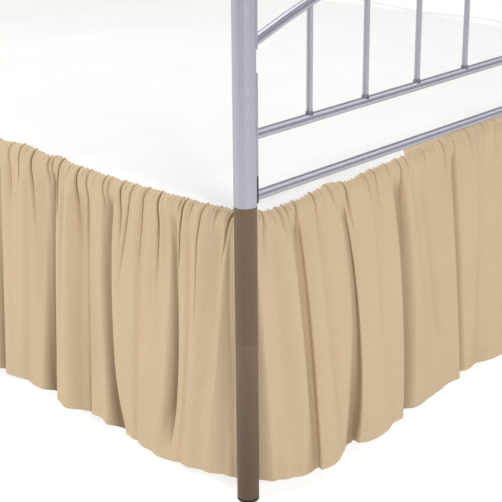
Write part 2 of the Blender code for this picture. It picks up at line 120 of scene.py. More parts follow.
# %% Fold tables
Fold = namedtuple("Fold", "at_top at_hem bow depth half_width begins ends lap")
LEFT_FOLDS = (
    Fold(0.045, 0.080, 0.000, 0.006, 0.018, 0.00, 0.70, 0.0),
    Fold(0.167, 0.162, -0.011, 0.021, 0.011, 0.00, 0.90, -0.4),
    Fold(0.210, 0.238, 0.000, 0.009, 0.014, 0.00, 0.40, 0.0),
    Fold(0.318, 0.292, 0.019, 0.026, 0.018, 0.00, 1.00, -0.5),
    Fold(0.385, 0.393, 0.002, 0.012, 0.015, 0.00, 1.00, -0.3),
    Fold(0.464, 0.490, 0.002, 0.026, 0.017, 0.00, 1.00, -0.5),
    Fold(0.538, 0.582, -0.004, 0.010, 0.016, 0.02, 1.00, 0.0),
    Fold(0.625, 0.646, 0.000, 0.018, 0.012, 0.00, 1.00, -0.9),
)
FOOT_FOLDS = (
    Fold(0.080, 0.070, 0.000, 0.005, 0.012, 0.00, 0.50, 0.0),
    Fold(0.146, 0.110, 0.006, 0.015, 0.014, 0.00, 1.00, 0.5),
    Fold(0.190, 0.188, 0.004, 0.008, 0.014, 0.00, 0.80, 0.0),
    Fold(0.256, 0.226, 0.020, 0.021, 0.013, 0.02, 1.00, 0.5),
    Fold(0.340, 0.322, 0.000, 0.007, 0.012, 0.00, 0.55, 0.0),
    Fold(0.402, 0.376, 0.016, 0.021, 0.013, 0.00, 1.00, -0.4),
    Fold(0.478, 0.512, 0.006, 0.009, 0.014, 0.00, 0.75, 0.0),
    Fold(0.572, 0.578, 0.002, 0.021, 0.007, 0.02, 1.00, -1.1),
    Fold(0.656, 0.634, 0.000, 0.007, 0.015, 0.00, 1.00, 0.0),
    Fold(0.735, 0.742, 0.000, 0.016, 0.011, 0.02, 1.00, -0.8),
)
print(len(LEFT_FOLDS), "folds on the side panel,", len(FOOT_FOLDS), "on the foot panel")

# %% [markdown]
# Three more tables give the hem's lobes, which stand further out than the shoulder, the uneven
# height of the shoulder itself, and the soft waves between the folds. A wave is two slopes that
# catch the light differently, and its places are those at the seam, since it drifts with the folds.

# %% Lobes and rises
Lobe = namedtuple("Lobe", "at out")
LEFT_LOBES = (
    Lobe(0.022, 0.002), Lobe(0.050, 0.012), Lobe(0.078, 0.021), Lobe(0.127, 0.030),
    Lobe(0.177, 0.043), Lobe(0.215, 0.034), Lobe(0.254, 0.027), Lobe(0.302, 0.034),
    Lobe(0.329, 0.031), Lobe(0.360, 0.020), Lobe(0.439, 0.029), Lobe(0.475, 0.023),
    Lobe(0.516, 0.018), Lobe(0.589, 0.012), Lobe(0.632, 0.016), Lobe(0.700, 0.031),
)
FOOT_LOBES = (
    Lobe(0.0215, 0.020), Lobe(0.040, 0.046), Lobe(0.059, 0.061), Lobe(0.106, 0.083),
    Lobe(0.140, 0.082), Lobe(0.197, 0.067), Lobe(0.226, 0.069), Lobe(0.251, 0.073),
    Lobe(0.295, 0.071), Lobe(0.345, 0.063), Lobe(0.399, 0.060), Lobe(0.459, 0.051),
    Lobe(0.526, 0.044), Lobe(0.578, 0.041), Lobe(0.614, 0.036), Lobe(0.684, 0.041),
)

Rise = namedtuple("Rise", "at up")
LEFT_RISES = (
    Rise(0.022, 0.003), Rise(0.050, 0.004), Rise(0.132, 0.000), Rise(0.306, -0.002),
    Rise(0.432, 0.001), Rise(0.467, 0.008), Rise(0.492, 0.004), Rise(0.565, 0.011),
    Rise(0.615, 0.007),
)
FOOT_RISES = (
    Rise(0.0215, -0.004), Rise(0.064, -0.006), Rise(0.096, -0.011), Rise(0.157, -0.010),
    Rise(0.196, -0.006), Rise(0.238, -0.001), Rise(0.288, -0.009), Rise(0.350, -0.003),
    Rise(0.449, 0.000), Rise(0.525, 0.004), Rise(0.569, 0.009), Rise(0.646, 0.012),
    Rise(0.715, 0.012),
)
Wave = namedtuple("Wave", "at out")
LEFT_WAVES = (
    Wave(0.022, 0.000), Wave(0.032, -0.006), Wave(0.047, 0.004), Wave(0.064, -0.002),
    Wave(0.108, 0.009), Wave(0.130, 0.000), Wave(0.140, 0.004), Wave(0.189, -0.005),
    Wave(0.204, 0.002), Wave(0.234, -0.004), Wave(0.249, 0.002), Wave(0.284, -0.004),
    Wave(0.319, 0.004), Wave(0.366, -0.006), Wave(0.390, 0.002), Wave(0.400, 0.000),
    Wave(0.4236, 0.010), Wave(0.438, 0.002), Wave(0.450, 0.005), Wave(0.492, -0.005),
    Wave(0.541, 0.009), Wave(0.586, -0.006), Wave(0.625, 0.003),
)
FOOT_WAVES = (
    Wave(0.0215, 0.000), Wave(0.036, 0.006), Wave(0.064, -0.004), Wave(0.112, 0.008),
    Wave(0.142, -0.006), Wave(0.180, 0.005), Wave(0.193, 0.001), Wave(0.246, 0.008),
    Wave(0.266, -0.002), Wave(0.322, 0.005), Wave(0.352, -0.004), Wave(0.383, 0.004),
    Wave(0.398, -0.002), Wave(0.428, 0.006), Wave(0.460, -0.007), Wave(0.476, -0.002),
    Wave(0.510, -0.007), Wave(0.548, 0.003), Wave(0.560, -0.001), Wave(0.632, 0.008),
    Wave(0.675, -0.007), Wave(0.720, 0.003),
)
print("side hem reaches", max(lobe.out for lobe in LEFT_LOBES), "m, foot hem",
      max(lobe.out for lobe in FOOT_LOBES), "m out of the shoulder")

# %% [markdown]
# ## The gathers under the seam
#
# Sewing machines gather cloth by pulling a thread, which bunches it into narrow pleats a finger
# apart with still finer ones between. Each is a thin dark line over the shoulder that opens into
# a soft wedge and dies out. `reach` says how far below the seam that is, `spread` how wide the
# wedge gets, and `lean` how far it drifts.

# %% Gather tables
Gather = namedtuple("Gather", "at depth spread reach lap lean")
LEFT_GATHERS = (
    Gather(0.041, 0.0045, 0.010, 0.12, 0.4, 0.026), Gather(0.074, 0.0035, 0.003, 0.04, 0.0, 0.000),
    Gather(0.105, 0.0055, 0.012, 0.28, -0.4, 0.004), Gather(0.131, 0.0030, 0.003, 0.05, 0.0, 0.000),
    Gather(0.149, 0.0055, 0.004, 0.16, 0.7, 0.000), Gather(0.159, 0.0030, 0.003, 0.05, 0.0, -0.002),
    Gather(0.208, 0.0055, 0.010, 0.22, 0.4, -0.004), Gather(0.239, 0.0055, 0.010, 0.20, -0.5, 0.016),
    Gather(0.270, 0.0050, 0.008, 0.24, -0.6, 0.040), Gather(0.298, 0.0050, 0.004, 0.14, 0.8, 0.002),
    Gather(0.330, 0.0035, 0.003, 0.07, 0.0, 0.000), Gather(0.342, 0.0040, 0.003, 0.09, 0.0, 0.002),
    Gather(0.383, 0.0050, 0.011, 0.20, -0.6, 0.008), Gather(0.411, 0.0055, 0.007, 0.18, 0.6, -0.004),
    Gather(0.455, 0.0050, 0.004, 0.14, 0.8, 0.003), Gather(0.477, 0.0030, 0.002, 0.10, 0.0, 0.000),
    Gather(0.490, 0.0045, 0.003, 0.08, 0.0, -0.002), Gather(0.533, 0.0050, 0.008, 0.16, 0.6, -0.010),
    Gather(0.566, 0.0040, 0.005, 0.10, 0.3, 0.003), Gather(0.597, 0.0045, 0.006, 0.14, -0.3, 0.004),
)
FOOT_GATHERS = (
    Gather(0.046, 0.0035, 0.004, 0.09, 0.0, 0.000), Gather(0.070, 0.0045, 0.005, 0.11, 0.0, -0.014),
    Gather(0.091, 0.0030, 0.003, 0.04, 0.0, 0.000), Gather(0.107, 0.0040, 0.004, 0.07, 0.0, 0.002),
    Gather(0.123, 0.0040, 0.004, 0.07, 0.0, 0.002), Gather(0.147, 0.0050, 0.006, 0.10, 0.3, -0.005),
    Gather(0.190, 0.0045, 0.006, 0.11, 0.0, 0.003), Gather(0.227, 0.0030, 0.004, 0.07, 0.0, 0.010),
    Gather(0.270, 0.0050, 0.010, 0.12, 0.4, 0.012), Gather(0.325, 0.0035, 0.004, 0.09, 0.0, 0.006),
    Gather(0.349, 0.0040, 0.006, 0.11, 0.0, 0.012), Gather(0.386, 0.0030, 0.004, 0.06, 0.0, 0.000),
    Gather(0.418, 0.0050, 0.006, 0.25, -0.6, 0.002), Gather(0.439, 0.0030, 0.004, 0.06, 0.0, 0.002),
    Gather(0.491, 0.0030, 0.004, 0.06, 0.0, 0.002), Gather(0.545, 0.0035, 0.005, 0.11, 0.0, 0.002),
    Gather(0.578, 0.0045, 0.004, 0.20, -0.6, 0.004), Gather(0.625, 0.0030, 0.004, 0.07, 0.0, 0.000),
    Gather(0.677, 0.0030, 0.004, 0.09, 0.0, 0.003),
)
print(len(LEFT_GATHERS) + len(FOOT_GATHERS), "gathers placed by hand")

# %% [markdown]
# ## The stretches that nobody has drawn
#
# The tables cover what can be seen from the near corner. Further along, the same kinds of folds and
# gathers are drawn from seeded random ranges, so the cloth goes on just as unevenly and comes out
# the same each time.

# %% Folds past the tables
HIDDEN_STEP = (0.062, 0.112)
HIDDEN_LEAN = (-0.011, 0.011)
HIDDEN_BOW = (-0.008, 0.008)
HIDDEN_FULL_SHARE = 0.66
HIDDEN_DEEP = (0.011, 0.019)
HIDDEN_SHALLOW = (0.006, 0.011)
HIDDEN_HALF_WIDTH = (0.010, 0.014)
HIDDEN_BEGINS = (0.0, 0.03)
HIDDEN_ENDS = (0.4, 0.8)
HIDDEN_LAP = (-1.1, 1.1)
HIDDEN_LOBES = (0.75, 1.6)
HIDDEN_RISES = (-0.001, 0.008)
MEAN_LOBE_SHARE = 0.42
LOBE_PAST_FOLD = 0.03
FREE_AT_STOP = 0.045
WAVE_STEP, WAVE_HEIGHT = (0.020, 0.045), (0.002, 0.008)
GATHER_DRAWS, RIPPLE_DRAWS, WAVE_DRAWS = 100, 200, 300


def hidden_rows(panel):
    """The folds, lobes and rises of a panel, with those past its tables drawn at random."""
    rng = random.Random(panel.seed)
    folds, lobes, rises = list(panel.folds), list(panel.lobes), list(panel.rises)
    at = folds[-1].at_hem if folds else panel.starts[1]
    mean_lobe = MEAN_LOBE_SHARE * panel.reach
    if not lobes:
        lobes.append(Lobe(at, mean_lobe / 4))
        rises.append(Rise(at, 0.0))
    while True:
        step = rng.uniform(*HIDDEN_STEP)
        lean = rng.uniform(*HIDDEN_LEAN)
        full = rng.random() < HIDDEN_FULL_SHARE
        depth = rng.uniform(*(HIDDEN_DEEP if full else HIDDEN_SHALLOW))
        row = Fold(at + step - lean, at + step + lean, rng.uniform(*HIDDEN_BOW), depth,
                   rng.uniform(*HIDDEN_HALF_WIDTH), rng.uniform(*HIDDEN_BEGINS),
                   1.0 if full else rng.uniform(*HIDDEN_ENDS), rng.uniform(*HIDDEN_LAP) if full else 0.0)
        at += step
        if at > panel.stops[1] - FREE_AT_STOP:
            break
        folds.append(row)
        lobes.append(Lobe(at + LOBE_PAST_FOLD, mean_lobe * rng.uniform(*HIDDEN_LOBES)))
        rises.append(Rise(at + LOBE_PAST_FOLD, rng.uniform(*HIDDEN_RISES)))
    lobes.append(Lobe(panel.stops[1], mean_lobe / 2))
    rises.append(Rise(panel.stops[1], 0.0))
    return folds, lobes, rises


def all_waves(panel):
    """The soft waves of a panel, with those past its table drawn at random."""
    rng = random.Random(panel.seed + WAVE_DRAWS)
    waves = list(panel.waves) or [Wave(panel.starts[0], 0.0)]
    side = -1
    while waves[-1].at < panel.stops[0]:
        waves.append(Wave(waves[-1].at + rng.uniform(*WAVE_STEP), side * rng.uniform(*WAVE_HEIGHT)))
        side = -side
    return waves


print(f"unseen folds come every {HIDDEN_STEP[0]} to {HIDDEN_STEP[1]} m")

# %% [markdown]
# ## Gathers past the tables
#
# Past the places that were read, gathers are drawn like the folds. Bold ones run far down and
# lap, and plain ones fade soon. Fine ones stand all along each panel, short and shallow.

# %% Gathers past the tables, and the fine ones between
MAJOR_STEP, MINOR_STEP = (0.022, 0.042), (0.006, 0.013)
MAJORS_STOP_BEFORE, MINORS_STOP_BEFORE = 0.012, 0.006
Ranges = namedtuple("Ranges", "depth spread reach lap lean")
BOLD_GATHERS = Ranges((0.0042, 0.0058), (0.005, 0.012), (0.14, 0.28), (-0.7, 0.7), (-0.012, 0.016))
PLAIN_GATHERS = Ranges((0.0026, 0.0040), (0.003, 0.005), (0.05, 0.11), None, (-0.012, 0.016))
FINE_GATHERS = Ranges((0.0009, 0.0022), (0.002, 0.0035), (0.016, 0.052), None, (-0.004, 0.004))
BOLD_SHARE = 0.45


def drawn_gather(rng, at, ranges):
    """A gather drawn from ranges, where no range means no lap."""
    return Gather(at, *(rng.uniform(*limits) if limits else 0.0 for limits in ranges))


def all_gathers(panel):
    """The gathers of a panel: the table's, more like them past it, and fine ones all along."""
    rng = random.Random(panel.seed + GATHER_DRAWS)
    majors = list(panel.gathers)
    at = majors[-1].at if majors else panel.starts[0]
    while True:
        at += rng.uniform(*MAJOR_STEP)
        if at > panel.stops[0] - MAJORS_STOP_BEFORE:
            break
        bold = rng.random() < BOLD_SHARE
        majors.append(drawn_gather(rng, at, BOLD_GATHERS if bold else PLAIN_GATHERS))
    minors, at = [], panel.starts[0]
    while at < panel.stops[0] - MINORS_STOP_BEFORE:
        at += rng.uniform(*MINOR_STEP)
        minors.append(drawn_gather(rng, at, FINE_GATHERS))
    return majors + minors


print(f"fine gathers come every {MINOR_STEP[0]} to {MINOR_STEP[1]} m")

# %% [markdown]
# ## The three panels
#
# A panel is described in its own flat frame, as a place along its edge, a distance out of the
# shoulder and a height. Three short rules then turn those into the bed's own directions, so one
# recipe serves both sides and the foot.

# %% Panels
Panel = namedtuple("Panel", "name folds lobes rises waves gathers starts stops reach seed fine_until place")
SIDE_STARTS, SIDE_STOPS = (0.022, 0.022), (2.044, 2.044)
FOOT_STARTS = (0.0255, 0.0215)
FOOT_STOPS = tuple(2 * POST_X - start for start in FOOT_STARTS)


def on_left(at, out, z):
    return -SHOULDER_X - out, FOOT_POST_Y + at, z


def on_right(at, out, z):
    return SHOULDER_X + out, FOOT_POST_Y + at, z


def on_foot(at, out, z):
    return at - POST_X, SHOULDER_Y - out, z


PANELS = (
    Panel("skirt_left", LEFT_FOLDS, LEFT_LOBES, LEFT_RISES, LEFT_WAVES, LEFT_GATHERS,
          SIDE_STARTS, SIDE_STOPS, SIDE_REACH, 4, 0.75, on_left),
    Panel("skirt_right", (), (), (), (), (), SIDE_STARTS, SIDE_STOPS, SIDE_REACH, 9, 0.0, on_right),
    Panel("skirt_foot", FOOT_FOLDS, FOOT_LOBES, FOOT_RISES, FOOT_WAVES, FOOT_GATHERS,
          FOOT_STARTS, FOOT_STOPS, FOOT_REACH, 6, 0.80, on_foot),
)
print("panels:", ", ".join(panel.name for panel in PANELS))

# %% [markdown]
# ## Soft steps
#
# Nearly every part of a fold comes and goes softly. One S-shaped curve does that everywhere.

# %% Soft steps


def ease(share):
    """Goes softly from 0 to 1."""
    share = np.clip(share, 0.0, 1.0)
    return share * share * (3 - 2 * share)


def eased_over(span, at):
    """Goes softly from 0 to 1 over a span."""
    return ease((at - span[0]) / (span[1] - span[0]))


def between(rows, field, at):
    """Reads one column of a table of places at any places, easing from row to row."""
    places = np.array([row.at for row in rows])
    values = np.array([getattr(row, field) for row in rows])
    before = np.clip(np.searchsorted(places, at) - 1, 0, len(rows) - 2)
    share = (at - places[before]) / (places[before + 1] - places[before])
    return values[before] + (values[before + 1] - values[before]) * ease(share)


print("a quarter of the way along, a soft step has risen by", float(ease(0.25)))

# %% [markdown]
# ## The grid that a panel is made of
#
# Down the cloth, rows are close together over the roll at the shoulder and at the hem, where the
# form changes fast, and wider apart between. Along it, columns are one or two millimetres apart
# and drift with the folds beside them, so a crease runs along a column and stays crisp. Two rows
# stand inside the seam, where the gathers push up small pleats, and three turn the hem up behind.

# %% Rows and columns
ROLL_STEPS = 9
DROP_ROWS, ROWS_OPEN_OUT = 40, 1.25
HEM_DEEP = 0.024
HEM_ROWS = (0.0275, 0.0252, HEM_DEEP, 0.0225, 0.014, 0.006, 0.0012, 0.0)
TURNED_UP = (0.0004, 0.010, HEM_DEEP)
HEM_BEHIND = 0.0016
SEAM_EDGE = (0.0052, 0.0026)
FINE_COLUMN, WIDE_COLUMN = 0.00105, 0.0019
ROLL_LENGTH = math.pi * math.hypot(SEAM_INSIDE, SHOULDER_DROP) / (2 * math.sqrt(2))
WHOLE_DROP = DECK_TOP - SHOULDER_DROP - HEM_HEIGHT


def rows_down():
    """For each row: its turn round the roll, share of the drop, place down the cloth and set-back."""
    turns = np.linspace(0, math.pi / 2, ROLL_STEPS + 1)
    above_hem = 1 - HEM_ROWS[0] / WHOLE_DROP
    drops = np.linspace(0, 1, DROP_ROWS)[1:] ** ROWS_OPEN_OUT * above_hem
    drops = np.concatenate([drops, [1 - height / WHOLE_DROP for height in HEM_ROWS[1:]]])
    turned = np.array([1 - height / WHOLE_DROP for height in TURNED_UP])
    edge = np.array(SEAM_EDGE)
    cloth = np.concatenate([-edge, turns / (math.pi / 2) * ROLL_LENGTH, ROLL_LENGTH + drops * WHOLE_DROP,
                            ROLL_LENGTH + (2 - turned) * WHOLE_DROP])
    drop = np.concatenate([np.zeros(len(edge) + len(turns)), drops, turned])
    turn = np.concatenate([np.zeros(len(edge)), turns, np.full(len(drops) + len(turned), math.pi / 2)])
    behind = np.concatenate([edge, np.zeros(len(turns) + len(drops)), np.full(len(turned), HEM_BEHIND)])
    return turn, drop, cloth, behind


def bowed(fold, drop):
    """How far a fold's bow carries it aside at a share of the drop."""
    return 4 * fold.bow * drop * (1 - drop)


def columns_along(panel, folds, drop):
    """Place of each column at each row."""
    fine = np.arange(panel.starts[0], max(panel.fine_until, panel.starts[0]), FINE_COLUMN)
    first = fine[-1] + WIDE_COLUMN if len(fine) else panel.starts[0]
    wide = np.arange(first, panel.stops[0], WIDE_COLUMN)
    base = np.concatenate([fine, wide, [panel.stops[0]]])
    tops = [panel.starts[0]] + [fold.at_top for fold in folds] + [panel.stops[0]]
    places = []
    for share in drop:
        there = [panel.starts[0] + (panel.starts[1] - panel.starts[0]) * share]
        there += [fold.at_top + (fold.at_hem - fold.at_top) * share + bowed(fold, share) for fold in folds]
        there.append(panel.stops[0] + (panel.stops[1] - panel.stops[0]) * share)
        places.append(np.interp(base, tops, np.maximum.accumulate(there)))
    return base, np.array(places).T


print(f"{len(rows_down()[0])} rows, over a roll of {ROLL_LENGTH:.4f} m and a drop of {WHOLE_DROP:.4f} m")

# %% [markdown]
# ## One big fold
#
# A fold is a narrow trough inside a broad dip. The dip is a bell curve: exp(-u²) of the distance
# from its middle in half widths. So is the trough of a soft fold, and a fold that laps has a
# flatter floor. The trough also slides the cloth sideways, and where it slides more than a
# column's width the cloth folds over itself. A deep fold hides from the light more than a render
# with soft lamps shows, so each fold also gives a share of painted shade, which the finish paints
# into the cloth's colour.

# %% Big folds
WIDTH_AT_TOP = 0.65
TROUGH_SHARE = 0.62
DIP_WIDTH = 2.6
FLAT_FLOOR, ROUND_FLOOR = 5, 2
COMES_OVER = (-0.04, 0.06)
GOES_OVER = (-0.15, 0.10)
FLARE_POWER = 0.9
DEEPEST, DEEPEST_AT_ENDS = -0.006, -0.001
ENDS_DEEPEN_OVER, ENDS_SLIDE_OVER = 0.08, 0.03
FOLDS_GROW_OVER = (0.000, 0.070)
STEEP_SIDE, GENTLE_SIDE = 0.5, 1.9
DARKEST_FOLD = 0.024


def fold_push(fold, place, drop):
    """How far one fold sinks the sheet and slides it along, and its share of painted shade."""
    middle = fold.at_top + (fold.at_hem - fold.at_top) * drop + bowed(fold, drop)
    wide = fold.half_width * (WIDTH_AT_TOP + (1 - WIDTH_AT_TOP) * drop)
    if fold.lap:
        wide = wide * np.where((place - middle) * fold.lap > 0, STEEP_SIDE, GENTLE_SIDE)
    u = (place - middle) / wide
    grows = eased_over(COMES_OVER, drop - fold.begins) * (1 + drop) / 2
    if fold.ends < 1:
        grows = grows * (1 - eased_over(GOES_OVER, drop - fold.ends))
    trough = np.exp(-np.abs(u) ** (FLAT_FLOOR if fold.lap else ROUND_FLOOR))
    dip = np.exp(-(u / DIP_WIDTH) ** 2)
    sinks = fold.depth * grows * (TROUGH_SHARE * trough + (1 - TROUGH_SHARE) * dip)
    # Painted shade: a deep trough gets a share of darkening that the cloth's finish paints into its colour.
    shade = (fold.depth / DARKEST_FOLD) ** 2 * grows * trough
    return sinks, fold.lap * fold.half_width * grows * trough, shade


deepest_fold = max(fold.depth for fold in LEFT_FOLDS + FOOT_FOLDS)
print("the deepest fold sinks", deepest_fold, "m")

# %% [markdown]
# ## One gather
#
# A gather starts as a line two or three millimetres wide and opens on its way down. It pushes the
# cloth square to its surface, so it follows the roll, and it fades over its own length. Its dark line
# comes partly from the shade in its narrow notch and partly from painted shade in the cloth's colour.

# %% Gathers
NARROWEST = 0.0013
NOTCH_WIDTH, NOTCH_SHARE = 0.0012, 0.6
DARKEST_GATHER = 0.0055
GATHER_FULL_BY = 0.010
FADES_OVER = (0.30, 1.0)
WEDGE_OPENS, SHELF_ROUND = 0.8, 1.5
LINE_SOFTENS, LINE_SOFTENS_OVER = 0.65, (0.08, 0.45)


def gather_push(gather, place, cloth):
    """How far one gather sinks the sheet and slides it along, and its share of painted shade."""
    share = np.clip(cloth / gather.reach, 0, 1)
    aside = place - gather.at - gather.lean * share
    gentle = NARROWEST + (gather.spread - NARROWEST) * share ** WEDGE_OPENS
    wide = np.where(aside * gather.lap < 0, gentle, NARROWEST) if gather.lap else gentle
    fades = 1 - eased_over(FADES_OVER, share)
    grows = fades * ease(cloth / GATHER_FULL_BY)
    shelf = np.exp(-np.abs(aside / wide) ** SHELF_ROUND)
    notch = np.exp(-(aside / NOTCH_WIDTH) ** 2) * (1 - LINE_SOFTENS * eased_over(LINE_SOFTENS_OVER, share))
    sinks = gather.depth * grows * (shelf + NOTCH_SHARE * notch)
    # Painted shade: the gather's line darkens the cloth's colour, most near the seam and less lower down.
    shade = gather.depth / DARKEST_GATHER * fades * notch
    return sinks, gather.lap * 2 * NARROWEST * grows * notch, shade


print("a gather starts", 2 * NARROWEST, "m wide")

# %% [markdown]
# ## The whole sheet
#
# The lobes, the folds, the gathers and a little random ripple add up to one grid of points.

# %% Sheet points
RIPPLES = ((0.097, 0.0010), (0.057, 0.0004))
WAVE_LOSS_AT_HEM = 0.6
PLEAT_HEIGHT, FAR_PLEAT_HEIGHT, PLEAT_SUNK = 0.0056, 0.0030, 0.0030
PLEAT_SPREADS = 1.5
HEM_WAVE, HEM_WAVE_LENGTH = 0.0015, 0.041
SIDE_HEM = 0.014
Stitch = namedtuple("Stitch", "depth width")
SIDE_STITCH, HEM_STITCH = Stitch(0.0007, 0.0016), Stitch(0.0006, 0.0013)
NEAR_SPREADS, NEAR_MARGIN = 6, 0.03
RIPPLE_PHASE, RIPPLE_TILT, RIPPLE_WANDERS_OVER = (0, 6.3), (-0.2, 0.2), 2.7
CALM_END, CALM_SHARE = 0.004, 0.3


def sheet_points(panel):
    """The grid of a panel's outer face, and the share of painted shade at each of its points."""
    folds, lobes, rises = hidden_rows(panel)
    turn, drop, cloth, behind = rows_down()
    base, at = columns_along(panel, folds, drop)
    from_ends = np.minimum(at - panel.starts[0], panel.stops[0] - at)
    grown = eased_over(FOLDS_GROW_OVER, cloth)
    sunk, slid, painted_crease_shade = np.zeros_like(at), np.zeros_like(at), np.zeros_like(at)
    for fold in folds:
        sinks, slides, shade = fold_push(fold, at, drop)
        sunk += sinks * grown
        slid += slides * grown
        painted_crease_shade += shade * grown
    waves = between(all_waves(panel), "out", base)[:, None] * grown * (1 - WAVE_LOSS_AT_HEM * drop ** 2)
    out = between(lobes, "out", at) * drop ** FLARE_POWER - sunk + waves
    out = np.maximum(out, DEEPEST_AT_ENDS + (DEEPEST - DEEPEST_AT_ENDS) * ease(from_ends / ENDS_DEEPEN_OVER))
    out = np.where(out > 0, out * panel.reach / out.max(), out)

    rng = random.Random(panel.seed + RIPPLE_DRAWS)
    pushed = np.zeros_like(at)
    for gather in all_gathers(panel):
        near = np.abs(at[:, 0] - gather.at) < NEAR_SPREADS * gather.spread + NEAR_MARGIN
        sinks, slides, shade = gather_push(gather, at[near], cloth)
        pushed[near] += sinks
        slid[near] += slides
        painted_crease_shade[near] += shade
    for length, height in RIPPLES:
        phase, tilt = rng.uniform(*RIPPLE_PHASE), rng.uniform(*RIPPLE_TILT)
        wander = np.sin(at / (length * RIPPLE_WANDERS_OVER) + phase)
        pushed += height * np.sin(2 * math.pi * (at + tilt * cloth) / length + 2 * wander + phase) * grown
    pushed += SIDE_STITCH.depth * np.exp(-((from_ends - SIDE_HEM) / SIDE_STITCH.width) ** 2) * grown
    at_hem = (1 - drop) * WHOLE_DROP
    pushed += HEM_STITCH.depth * np.exp(-((at_hem - HEM_DEEP) / HEM_STITCH.width) ** 2)
    pushed = pushed * ease(from_ends / CALM_END + CALM_SHARE)

    shoulder = DECK_TOP + between(rises, "up", at) - SHOULDER_DROP * (1 - np.cos(turn))
    hem = HEM_HEIGHT + HEM_WAVE * (1 + np.sin(at / HEM_WAVE_LENGTH + panel.seed)) / 2
    z = shoulder - (shoulder - hem) * drop - pushed * np.cos(turn)
    tent = PLEAT_HEIGHT if panel.gathers else FAR_PLEAT_HEIGHT
    stands = np.clip(PLEAT_SPREADS * np.sqrt(np.maximum(painted_crease_shade, 0)), 0, 1)
    pleat = tent * stands * (behind < SEAM_EDGE[0])
    z = np.where(cloth < 0, shoulder + pleat - PLEAT_SUNK, z)
    out = out - SEAM_INSIDE * (1 - np.sin(turn)) - pushed * np.sin(turn) - behind
    painted_crease_shade = np.where(cloth < 0, 0, np.clip(painted_crease_shade, 0, 1))
    return at + slid * ease(from_ends / ENDS_SLIDE_OVER), out, z, cloth, painted_crease_shade


print(len(RIPPLES), "lengths of ripple, the highest", max(height for _, height in RIPPLES), "m")

# %% [markdown]
# ## Sheet meshes
#
# A grid of points becomes a mesh of four-sided faces, with lengths of cloth as its map. A
# modifier then gives it the thickness of the cloth.

# %% Sheet meshes


def grid_mesh(name, points, uvs):
    """A mesh from a grid of points, with a UV map in metres of cloth."""
    across, along = points.shape[:2]
    mesh = bpy.data.meshes.new(name)
    index = np.arange(across * along).reshape(across, along)
    corners = np.stack([index[:-1, :-1], index[1:, :-1], index[1:, 1:], index[:-1, 1:]], axis=-1)
    corners = corners.reshape(-1, 4)
    mesh.from_pydata(points.reshape(-1, 3).tolist(), [], corners.tolist())
    layer = mesh.uv_layers.new(name="cloth")
    layer.data.foreach_set("uv", uvs.reshape(-1, 2)[corners.reshape(-1)].reshape(-1))
    mesh.shade_smooth()
    return mesh


def add_piece(name, mesh, finish):
    """Puts a mesh into the scene with its finish, riding on the bed."""
    made = bpy.data.objects.new(name, mesh)
    bpy.context.scene.collection.objects.link(made)
    mesh.materials.append(finish)
    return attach(made, "root")


def thicken(piece, thickness, outward):
    """Gives a sheet its thickness, behind the face that shows."""
    solid = piece.modifiers.new("thickness", "SOLIDIFY")
    solid.thickness = thickness
    solid.offset = outward
    solid.use_even_offset = False


print("cloth that lies flat is", CLOTH_THICK, "m thick")

# %% [markdown]
# ## The cloth's finish
#
# The skirt is a plain weave in a warm beige, matt, with a faint fuzz. Two crossed wave textures
# make the threads, noise makes them uneven, and slower noise gives the slight mottling that any
# dyed cloth has. The fuzz is the shader's sheen.

# %% Node helpers


def new_finish(name, roughness, metallic=0.0):
    """A material, its node tree and its shader."""
    made = bpy.data.materials.new(name)
    made.use_nodes = True
    shader = made.node_tree.nodes["Principled BSDF"]
    shader.inputs["Roughness"].default_value = roughness
    shader.inputs["Metallic"].default_value = metallic
    return made, made.node_tree, shader


def node(tree, kind, inputs=(), **settings):
    """Adds a node, sets its options and joins or sets its inputs."""
    made = tree.nodes.new(kind)
    for key, value in settings.items():
        setattr(made, key, value)
    for socket, value in dict(inputs).items():
        if isinstance(value, bpy.types.NodeSocket):
            tree.links.new(value, made.inputs[socket])
        else:
            made.inputs[socket].default_value = value
    return made


def noise(tree, coordinates, scale, detail=3.0):
    """Noise from 0 to 1 at a scale in repeats to the metre."""
    made = node(tree, "ShaderNodeTexNoise", {"Vector": coordinates, "Scale": scale, "Detail": detail})
    return made.outputs["Fac"]


def blended(tree, factor, low, high, first, second):
    """Goes from one colour to another as a number goes from low to high."""
    ramp = node(tree, "ShaderNodeValToRGB", {"Fac": factor})
    ramp.color_ramp.elements[0].position = low
    ramp.color_ramp.elements[0].color = (*first, 1)
    ramp.color_ramp.elements[1].position = high
    ramp.color_ramp.elements[1].color = (*second, 1)
    return ramp.outputs["Color"]


def height_up(tree):
    """The height over the floor, in metres."""
    place = node(tree, "ShaderNodeTexCoord").outputs["Object"]
    return node(tree, "ShaderNodeSeparateXYZ", {0: place}).outputs["Z"]


print("node helpers ready")

# %% [markdown]
# ## Woven cloth
#
# Two sets of waves at right angles stand for the threads. The colour drifts between two close
# tones, and is painted darker where a sheet gives a share of painted shade in its folds and gathers.

# %% Woven cloth
THREADS_TO_METRE = 1500
YARN_SCALE, THREAD_WAVERS, THREAD_BUMP, THREAD_HEIGHT = 900, 0.6, 0.12, 0.0004
MOTTLE_SCALE, FIBRE_SCALE, TONE_SPAN = 7, 160, (0.3, 0.7)
PAINTED_SHADE_COLOUR_SHARES = (0.44, 0.40, 0.35)


